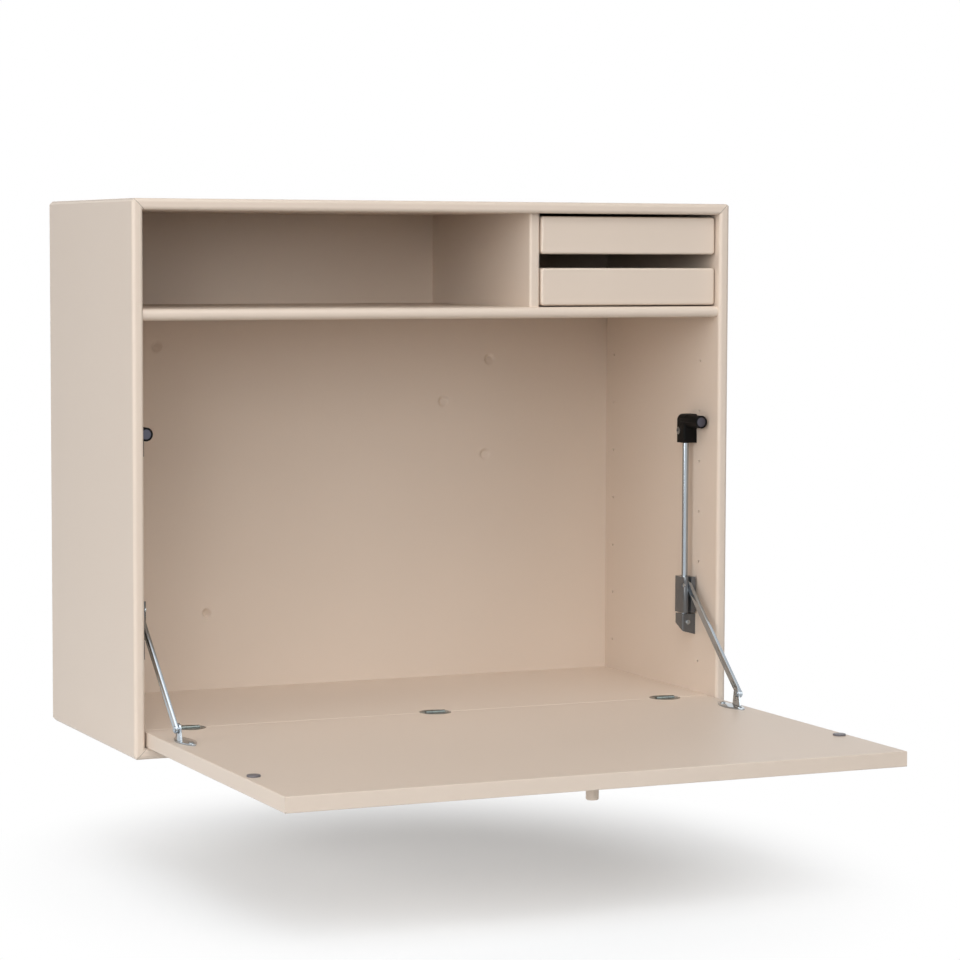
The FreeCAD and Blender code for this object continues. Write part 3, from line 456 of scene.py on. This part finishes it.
class Plan:
    # builds one geometry node tree
    def __init__(self, name, sizes):
        self.tree = bpy.data.node_groups.new(name, "GeometryNodeTree")
        face = self.tree.interface
        face.new_socket("Geometry", in_out="INPUT", socket_type="NodeSocketGeometry")
        for label, (kind, value) in sizes.items():
            socket = face.new_socket(label, in_out="INPUT", socket_type="NodeSocket" + kind)
            if value is not None:
                socket.default_value = value
        face.new_socket("Geometry", in_out="OUTPUT", socket_type="NodeSocketGeometry")
        self.start = self.tree.nodes.new("NodeGroupInput")
        self.end = self.tree.nodes.new("NodeGroupOutput")

    def size(self, label):
        return self.start.outputs[label]

    def add(self, kind, settings=None, inputs=None, output=0):
        node = self.tree.nodes.new(kind)
        for name, value in (settings or {}).items():
            setattr(node, name, value)
        for name, value in (inputs or {}).items():
            for one in value if isinstance(value, list) else [value]:
                if isinstance(one, bpy.types.NodeSocket):
                    self.tree.links.new(one, node.inputs[name])
                else:
                    node.inputs[name].default_value = one
        return node.outputs[output]

    def maths(self, operation, first, second):
        return self.add("ShaderNodeMath", {"operation": operation}, {0: first, 1: second})

    def vector(self, x, y, z):
        return self.add("ShaderNodeCombineXYZ", {}, {"X": x, "Y": y, "Z": z})

    def named(self, name, kind):
        return self.add("GeometryNodeInputNamedAttribute", {"data_type": kind}, {"Name": name})


# lengths in head radii
fastenerSizes = {
    "Head Height": ("Float", 0.5), "Dome": ("Float", 0.16), "Rim Sides": ("Int", 40),
    "Recess Width": ("Float", 0.26), "Recess Length": ("Float", 1.05), "Recess Depth": ("Float", 0.42),
    "Dimple Radius": ("Float", 0.45), "Finish": ("Material", None),
}
# at the rim the dome falls by domeFall times its height, and only points above topLevel are lifted by it
headMesh = {
    "sideRings": 2, "topRings": 6, "stemSides": 24, "domePower": 3.0, "domeFall": 1.6, "topLevel": 0.01,
}


def domedHead(plan, look, crossed):
    # a drum of radius 1 whose top swells to a dome, with a dimple in its middle where it has no cross
    high, dome = plan.size("Head Height"), plan.size("Dome")
    drum = plan.add("GeometryNodeMeshCylinder", {"fill_type": "TRIANGLE_FAN"}, {
        "Vertices": plan.size("Rim Sides"), "Side Segments": look["sideRings"],
        "Fill Segments": look["topRings"], "Radius": 1.0, "Depth": high})
    place = plan.add("GeometryNodeInputPosition")
    level = plan.add("ShaderNodeSeparateXYZ", {}, {"Vector": place}, "Z")
    flat = plan.add("ShaderNodeVectorMath", {"operation": "MULTIPLY"}, {0: place, 1: (1, 1, 0)})
    out = plan.add("ShaderNodeVectorMath", {"operation": "LENGTH"}, {0: flat}, "Value")
    curve = plan.maths("POWER", out, look["domePower"])
    fall = plan.maths("MULTIPLY", curve, plan.maths("MULTIPLY", dome, look["domeFall"]))
    crown = plan.maths("SUBTRACT", dome, fall)
    if not crossed:
        inside = plan.maths("SUBTRACT", out, plan.size("Dimple Radius"))
        dimple = plan.maths("SMOOTH_MIN", inside, 0.0)
        crown = plan.maths("ADD", crown, plan.maths("MULTIPLY", dimple, plan.size("Recess Depth")))
    lift = plan.maths("MULTIPLY", crown, plan.maths("GREATER_THAN", level, look["topLevel"]))
    raised = plan.maths("ADD", lift, plan.maths("DIVIDE", high, 2.0))
    return plan.add("GeometryNodeSetPosition", {}, {
        "Geometry": drum, "Offset": plan.vector(0.0, 0.0, raised)})


def crossRecess(plan, head):
    # two bars cut from the top of the head
    deep = plan.maths("MULTIPLY", plan.size("Recess Depth"), 2.0)
    top = plan.maths("ADD", plan.size("Head Height"), plan.size("Dome"))
    bars = []
    for turn in (0.0, math.pi / 2):
        bar = plan.add("GeometryNodeMeshCube", {}, {
            "Size": plan.vector(plan.size("Recess Length"), plan.size("Recess Width"), deep)})
        bars.append(plan.add("GeometryNodeTransform", {}, {
            "Geometry": bar, "Translation": plan.vector(0.0, 0.0, top), "Rotation": (0.0, 0.0, turn)}))
    return plan.add("GeometryNodeMeshBoolean", {"operation": "DIFFERENCE", "solver": "EXACT"}, {
        "Mesh 1": head, "Mesh 2": bars})


seatLengths = ("headRadius", "shankRadius", "shankLength")


def fastenerPlan(name, sizes, look, crossed):
    plan = Plan(name, sizes)
    head = domedHead(plan, look, crossed)
    if crossed:
        head = crossRecess(plan, head)
    stem = plan.add("GeometryNodeMeshCylinder", {"fill_type": "NGON"}, {
        "Vertices": look["stemSides"], "Radius": 1.0, "Depth": 1.0})
    stem = plan.add("GeometryNodeTransform", {}, {"Geometry": stem, "Translation": (0.0, 0.0, -0.5)})
    aim = plan.add("FunctionNodeAlignRotationToVector", {"axis": "Z"}, {
        "Vector": plan.named("aim", "FLOAT_VECTOR")})
    spin = plan.add("FunctionNodeAxisAngleToRotation", {}, {
        "Axis": (0.0, 0.0, 1.0), "Angle": plan.named("turn", "FLOAT")})
    aim = plan.add("FunctionNodeRotateRotation", {"rotation_space": "LOCAL"}, {
        "Rotation": aim, "Rotate By": spin})
    wide, thin, long = (plan.named(label, "FLOAT") for label in seatLengths)
    points = plan.start.outputs["Geometry"]
    shapes = [
        plan.add("GeometryNodeInstanceOnPoints", {}, {
            "Points": points, "Instance": shape, "Rotation": aim, "Scale": plan.vector(*scale)})
        for shape, scale in ((head, (wide, wide, wide)), (stem, (thin, thin, long)))
    ]
    joined = plan.add("GeometryNodeJoinGeometry", {}, {"Geometry": shapes})
    solid = plan.add("GeometryNodeRealizeInstances", {}, {"Geometry": joined})
    done = plan.add("GeometryNodeSetMaterial", {}, {
        "Geometry": solid, "Material": plan.size("Finish")})
    plan.tree.links.new(done, plan.end.inputs["Geometry"])
    return plan.tree


def solidsOf(node):
    # the separate solids of a node, each as its corner points
    work = mergedCopy(node)
    seen = set()
    solids = []
    for first in work.verts:
        if first in seen:
            continue
        seen.add(first)
        front, points = [first], []
        while front:
            vert = front.pop()
            points.append(vert.co.copy())
            fresh = [edge.other_vert(vert) for edge in vert.link_edges]
            fresh = [other for other in fresh if other not in seen]
            seen.update(fresh)
            front += fresh
        solids.append(points)
    work.free()
    return solids


# points beyond the rim share of the widest radius are on a head,
# and the stems of a rivet with two heads reach past its middle by the lap
seatLook = {"rim": 0.95, "lap": 1.02}


def seatsOf(points, look):
    # where the heads of a turned solid sit, which way they look, and its radii and lengths
    low, high = (Vector([pick(values) for values in zip(*points)]) for pick in (min, max))
    middle, size = (low + high) / 2, high - low
    run = max(range(3), key=lambda axis: size[axis])
    along = Vector([float(axis == run) for axis in range(3)])
    places = [(point - middle)[run] for point in points]
    radii = [(point - middle - along * place).length for point, place in zip(points, places)]
    wide = max(radii)
    rims = [place for place, radius in zip(places, radii) if radius > look["rim"] * wide]
    ways = [way for way in (-1, 1) if any(way * rim > 0 for rim in rims)]
    seats = []
    for way in ways:
        under = min(way * rim for rim in rims if way * rim > 0)
        seats.append({
            "place": middle + along * way * under, "aim": along * way,
            "headRadius": wide, "shankRadius": min(radii),
            "shankLength": under + size[run] / 2 if len(ways) == 1 else under * look["lap"],
        })
    return seats


def nodeSeats(*names):
    return [seat for name in names for points in solidsOf(name) for seat in seatsOf(points, seatLook)]


def setOut(name, tree, seats, shape, *replaced):
    # a point for each head, with what the tree needs to know about it
    mesh = bpy.data.meshes.new(name)
    mesh.from_pydata([seat["place"] for seat in seats], [], [])
    aim = mesh.attributes.new("aim", "FLOAT_VECTOR", "POINT")
    aim.data.foreach_set("vector", [value for seat in seats for value in seat["aim"]])
    columns = {label: [seat[label] for seat in seats] for label in seatLengths}
    columns["turn"] = [shape["turnStep"] * number for number in range(len(seats))]
    for label, values in columns.items():
        mesh.attributes.new(label, "FLOAT", "POINT").data.foreach_set("value", values)
    piece = newPiece(name, mesh)
    layout = piece.modifiers.new("setOut", "NODES")
    layout.node_group = tree
    settings = dict(shape, Finish=finishes[slotOf[replaced[0]]].material)
    for item in tree.interface.items_tree:
        if item.in_out == "INPUT" and item.name in settings:
            layout[item.identifier] = settings[item.name]
    settle(piece)
    shade(piece.data)
    dress(piece, *replaced)


screwShape = {
    "Head Height": 0.40, "Dome": 0.10, "Recess Width": 0.26, "Recess Length": 1.10, "Recess Depth": 0.34,
    "turnStep": 2.4,
}
screwTree = fastenerPlan("crossHeadScrew", fastenerSizes, headMesh, True)
screwGroups = {
    "cabinetScrews": ("hinge_floor_screws", "stay_screws_left", "stay_screws_right", "hook_screws"),
    "flapScrews": ("hinge_flap_screws", "flap_bracket_screws"),
}
for name, members in screwGroups.items():
    setOut(name, screwTree, nodeSeats(*members), screwShape, *members)

rivetShape = {"Head Height": 0.22, "Dome": 0.14, "Recess Depth": 0.35, "turnStep": 0.0}
rivetTree = fastenerPlan("roundHeadRivet", fastenerSizes, headMesh, False)
setOut("armRivetHeads", rivetTree, nodeSeats("arm_rivets"), rivetShape, "arm_rivets")

flushShape = {"Head Height": 0.05, "Dome": 0.05, "Recess Depth": 0.1, "turnStep": 0.0, "sunk": 0.0007}


def cheekSeats(side, sunk):
    # the slider's stubs end just below the outside of each cheek
    low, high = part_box("stay_slider_" + side)
    seats = []
    for seat in nodeSeats("slider_rivets_" + side):
        outward = seat["place"].x - (low.x + high.x) / 2
        if seat["aim"].x * outward > 0 and abs(outward) > (high.x - low.x) / 2:
            seat["shankLength"] = abs(outward) / 2
            seat["place"].x = high.x - sunk if outward > 0 else low.x + sunk
            seats.append(seat)
    return seats


for side in sides:
    stubs = cheekSeats(side, flushShape["sunk"])
    setOut("sliderRivetHeads_" + side, rivetTree, stubs, flushShape, "slider_rivets_" + side)
print("screws and rivets set out")

# back panel with shallow sunk marks

# places are x, z, radius, depth and the way in x and z to the deepest side,
# lines and floor are shares of the radius, half is the share of the depth in a mark's middle
backMarks = {
    "places": (
        (-0.2294, -0.0862, 0.0078, 0.0030, -0.8, 0.6), (0.1815, -0.1052, 0.0078, 0.0030, -0.6, 0.8),
        (0.1227, -0.1537, 0.0078, 0.0034, -0.7, 0.7), (0.1763, -0.2174, 0.0078, 0.0032, -0.7, 0.7),
        (-0.1715, -0.3904, 0.0062, 0.0060, -0.6, -0.8),
    ),
    "floor": 0.42, "half": 0.5, "lean": 0.55, "lines": [step / 10 for step in range(-12, 13)],
}


def backPanel(look):
    # one plate, its front on a net of lines that close up round each mark
    low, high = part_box("back_panel")
    linesX = {low.x, high.x}
    linesZ = {low.z, high.z}
    for markX, markZ, radius in [place[:3] for place in look["places"]]:
        linesX.update(markX + radius * line for line in look["lines"])
        linesZ.update(markZ + radius * line for line in look["lines"])
    linesX = sorted(linesX)
    linesZ = sorted(linesZ)

    def sunk(x, z):
        total = 0
        for markX, markZ, radius, depth, wayX, wayZ in look["places"]:
            across, up = (x - markX) / radius, (z - markZ) / radius
            rise = min(max((1 - math.hypot(across, up)) / (1 - look["floor"]), 0), 1)
            slant = min(max(look["half"] + look["lean"] * (across * wayX + up * wayZ), 0), 1)
            total += depth * slant * rise * rise * (3 - 2 * rise)
        return total

    work = bmesh.new()
    net = [[work.verts.new((x, low.y + sunk(x, z), z)) for z in linesZ] for x in linesX]
    for left, right in zip(net, net[1:]):
        for row in range(len(linesZ) - 1):
            work.faces.new((left[row], right[row], right[row + 1], left[row + 1]))
    rim = [edge for edge in work.edges if edge.is_boundary]
    pulled = bmesh.ops.extrude_edge_only(work, edges=rim)["geom"]
    for item in pulled:
        if isinstance(item, bmesh.types.BMVert):
            item.co.y = high.y
    rear = [item for item in pulled if isinstance(item, bmesh.types.BMEdge) and item.is_boundary]
    bmesh.ops.contextual_create(work, geom=rear)
    bmesh.ops.recalc_face_normals(work, faces=work.faces)
    mesh = meshFrom(work, "backPanelMarked")
    shade(mesh)
    dress(newPiece("backPanelMarked", mesh), "back_panel")


backPanel(backMarks)
print("back panel marked")

# studio: pale floor that runs out into white, soft lamps, white world

# rays that see the floor and the world as white
seenRays = ("Is Camera Ray", "Is Glossy Ray", "Is Transmission Ray")

# the floor is whiter from near to far, in shares of the reach from its middle
floorLook = {
    "z": -0.63, "half": 1.2, "tone": rgb(0.94, 0.97, 0.995),
    "middle": (-0.04, -0.39), "reach": (0.46, 0.53), "near": 0.35, "far": 1.09, "veil": 0.31,
}


def studioFloor(look):
    half = look["half"]
    level = look["z"]
    mesh = bpy.data.meshes.new("studioFloor")
    corners = [(-half, -half, level), (half, -half, level), (half, half, level), (-half, half, level)]
    mesh.from_pydata(corners, [], [(0, 1, 2, 3)])
    floor = newPiece("studioFloor", mesh)
    finish = Finish("paperFloor")
    place = finish.objectPlace()
    offset = finish.add("ShaderNodeVectorMath", {"operation": "SUBTRACT"}, {
        0: place, 1: (*look["middle"], level)})
    shares = finish.add("ShaderNodeVectorMath", {"operation": "DIVIDE"}, {
        0: offset, 1: (*look["reach"], 1)})
    out = finish.add("ShaderNodeVectorMath", {"operation": "LENGTH"}, {0: shares}, "Value")
    fade = finish.add("ShaderNodeMapRange", {"interpolation_type": "SMOOTHSTEP"}, {
        "Value": out, "From Min": look["near"], "From Max": look["far"],
        "To Min": look["veil"], "To Max": 1.0})
    rays = [finish.add("ShaderNodeLightPath", output=ray) for ray in seenRays]
    seen = rays[0].maths("MAXIMUM", rays[1]).maths("MAXIMUM", rays[2])
    paper = finish.add("ShaderNodeBsdfDiffuse", {}, {"Color": look["tone"]})
    white = finish.add("ShaderNodeEmission", {}, {"Color": rgb(1, 1, 1), "Strength": 1.0})
    finish.finishWith(finish.add("ShaderNodeMixShader", {}, {0: fade * seen, 1: paper, 2: white}))
    mesh.materials.append(finish.material)


studioFloor(floorLook)

worldLook = {"ambient": 0.01, "seen": 1.0}


def studioWorld(look):
    world = bpy.data.worlds.new("studioWorld")
    world.use_nodes = True
    tree = world.node_tree
    tree.nodes.clear()
    path = tree.nodes.new("ShaderNodeLightPath")
    seen = path.outputs[seenRays[0]]
    for ray in seenRays[1:]:
        either = tree.nodes.new("ShaderNodeMath")
        either.operation = "MAXIMUM"
        tree.links.new(seen, either.inputs[0])
        tree.links.new(path.outputs[ray], either.inputs[1])
        seen = either.outputs[0]
    level = tree.nodes.new("ShaderNodeMapRange")
    level.inputs["To Min"].default_value = look["ambient"]
    level.inputs["To Max"].default_value = look["seen"]
    tree.links.new(seen, level.inputs["Value"])
    sky = tree.nodes.new("ShaderNodeBackground")
    sky.inputs["Color"].default_value = rgb(1, 1, 1)
    tree.links.new(level.outputs[0], sky.inputs["Strength"])
    output = tree.nodes.new("ShaderNodeOutputWorld")
    tree.links.new(sky.outputs[0], output.inputs["Surface"])
    scene.world = world


studioWorld(worldLook)

lamps = {
    "keyBox": {"place": (-1.5, -3.6, 0.8), "aim": (0, -0.2, -0.25), "size": (1.8, 1.6), "power": 29},
    "frontLeftBox": {"place": (-2.6, -3.2, 0.7), "aim": (0, -0.2, -0.2), "size": (1.6, 1.8), "power": 26},
    "leftBox": {"place": (-3.2, -0.9, 0.4), "aim": (0, -0.3, -0.25), "size": (1.8, 1.8), "power": 42},
    "highFrontBox": {"place": (-0.3, -2.8, 2.4), "aim": (0, -0.3, -0.3), "size": (2.6, 1.8), "power": 41},
    "overheadBox": {"place": (-0.4, -1.3, 2.3), "aim": (0, -0.4, -0.3), "size": (2.6, 2.2), "power": 27},
    "rightFillBox": {"place": (2.2, -3.2, 1.0), "aim": (0, -0.2, -0.25), "size": (1.8, 1.8), "power": 16},
    "rearFillBox": {"place": (0.3, 3.0, -0.1), "aim": (0.1, 0, -0.2), "size": (1.1, 1.4), "power": 32},
}
for name, look in lamps.items():
    lamp = bpy.data.lights.new(name, "AREA")
    lamp.shape = "RECTANGLE"
    lamp.size, lamp.size_y = look["size"]
    lamp.energy = look["power"]
    holder = bpy.data.objects.new(name, lamp)
    scene.collection.objects.link(holder)
    holder.location = look["place"]
    way = Vector(look["aim"]) - Vector(look["place"])
    holder.rotation_euler = way.to_track_quat("-Z", "Y").to_euler()
print("studio lit")

# camera at the photograph's angle

cameraLook = {
    "place": (-1.31915, -3.34362, 0.02452), "sensor": 36, "lens": 115.80,
    "yaw": -24.12, "pitch": -4.27, "roll": 0.2,
}


def studioCamera(look):
    camera = bpy.data.cameras.new("studioCamera")
    camera.lens = look["lens"]
    camera.sensor_width = look["sensor"]
    holder = bpy.data.objects.new("studioCamera", camera)
    scene.collection.objects.link(holder)
    # a camera looks straight down until it is tipped up by 90 degrees
    turn = Matrix.Rotation(math.radians(look["yaw"]), 4, "Z")
    tip = Matrix.Rotation(math.radians(90 + look["pitch"]), 4, "X")
    tilt = Matrix.Rotation(math.radians(look["roll"]), 4, "Z")
    holder.matrix_world = Matrix.Translation(look["place"]) @ turn @ tip @ tilt
    scene.camera = holder


studioCamera(cameraLook)
scene.view_settings.view_transform = "Standard"
print("camera set")
